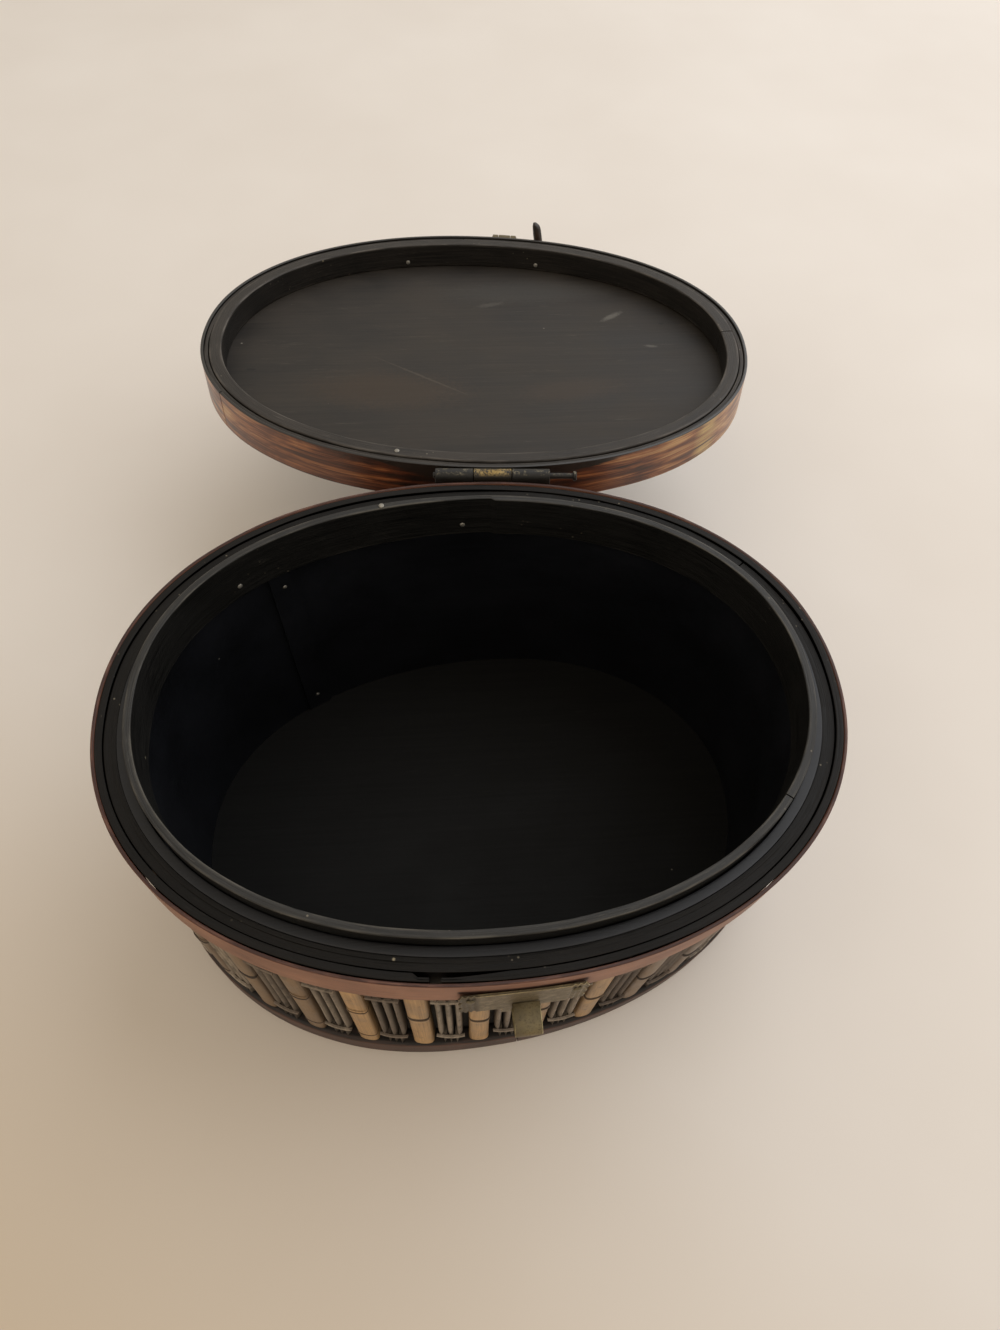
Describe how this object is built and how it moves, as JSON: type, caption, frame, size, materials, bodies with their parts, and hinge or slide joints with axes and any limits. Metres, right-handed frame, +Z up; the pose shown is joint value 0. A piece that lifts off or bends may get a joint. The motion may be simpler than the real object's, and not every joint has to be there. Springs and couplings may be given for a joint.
{
  "type": "oval storage box",
  "caption": "Lidded oval box with bent-wood walls dressed in split bamboo and small fret panels, brass butt hinge, staple, hasp and wooden lock peg; lid stored open past flat.",
  "frame": {"origin": "centre of the flat underside, on the surface that the box stands on", "axes": "+Z up; -Y towards the front, where the lock plate and staple are; +X to the viewer's right"},
  "size_m": [0.2696, 0.4141, 0.1222],
  "materials": {
    "split_bamboo": "worn satin varnish",
    "rim_band_bamboo": "reddish-brown satin",
    "base_band_wood": "dark reddish-brown satin",
    "scorched_bamboo": "scorched and lacquered",
    "black_painted_wood": "worn black paint",
    "dark_wood": "dull dark stain",
    "aged_brass": "aged, olive patina",
    "dark_iron": "dull dark iron"
  },
  "bodies": {
    "box": {"base_board": "dark_wood", "base_band": "base_band_wood", "inner_wall": "black_painted_wood", "backing_wall": "dark_wood", "seam_batten": "dark_wood", "batten_nail_1": "dark_iron", "batten_nail_2": "dark_iron", "rim_band": "rim_band_bamboo", "ledge_hoop_outer": "black_painted_wood", "ledge_hoop_inner": "black_painted_wood", "rim_lip_hoop": "black_painted_wood", "lip_nail_1": "dark_iron", "lip_nail_2": "dark_iron", "slat_mat_01": "split_bamboo", "slat_mat_02": "split_bamboo", "slat_mat_03": "split_bamboo", "slat_mat_04": "split_bamboo", "slat_mat_05": "split_bamboo", "slat_mat_06": "split_bamboo", "slat_mat_07": "split_bamboo", "slat_mat_08": "split_bamboo", "slat_mat_09": "split_bamboo", "slat_mat_10": "split_bamboo", "slat_mat_11": "split_bamboo", "slat_mat_12": "split_bamboo", "slat_mat_13": "split_bamboo", "slat_mat_14": "split_bamboo", "slat_mat_15": "split_bamboo", "slat_mat_16": "split_bamboo", "slat_mat_17": "split_bamboo", "hinge_body_leaf": "aged_brass", "hinge_body_nail_1": "aged_brass", "hinge_body_nail_2": "aged_brass", "hinge_pin": "dark_iron", "lock_plate": "aged_brass", "lock_plate_nail_1": "aged_brass", "lock_plate_nail_2": "aged_brass", "lock_staple": "aged_brass"},
    "lid": {"lid_board": "dark_wood", "lid_outer_band": "scorched_bamboo", "lid_middle_hoop": "black_painted_wood", "lid_inner_hoop": "black_painted_wood", "lid_hoop_nail_1": "dark_iron", "lid_hoop_nail_2": "dark_iron", "lid_hoop_nail_3": "dark_iron", "lid_hoop_nail_4": "dark_iron", "hinge_lid_leaf": "aged_brass", "hinge_lid_nail_1": "aged_brass", "hinge_lid_nail_2": "aged_brass", "lid_plate": "aged_brass", "lid_plate_nail_1": "aged_brass", "lid_plate_nail_2": "aged_brass", "hasp_pin": "dark_iron", "peg_eye": "aged_brass"},
    "hasp": {"hasp": "aged_brass"},
    "lock_peg": {"lock_peg": "black_painted_wood"}
  },
  "joints": [
    {"name": "lid_hinge", "type": "hinge", "parent": "box", "child": "lid", "pos_m": [0.0132, 0.10214, 0.116], "axis": [0.9983, -0.0579, 0], "range_deg": [0, 187.5]},
    {"name": "hasp_hinge", "type": "hinge", "parent": "lid", "child": "hasp", "pos_m": [0.03327, 0.30221, 0.08602], "axis": [0.9876, -0.1564, 0.013], "range_deg": [-15, 172.5]},
    {"name": "peg_slide", "type": "slide", "parent": "lid", "child": "lock_peg", "axis": [-0.0076, -0.1303, -0.9914], "range_m": [0, 0.03]}
  ]
}
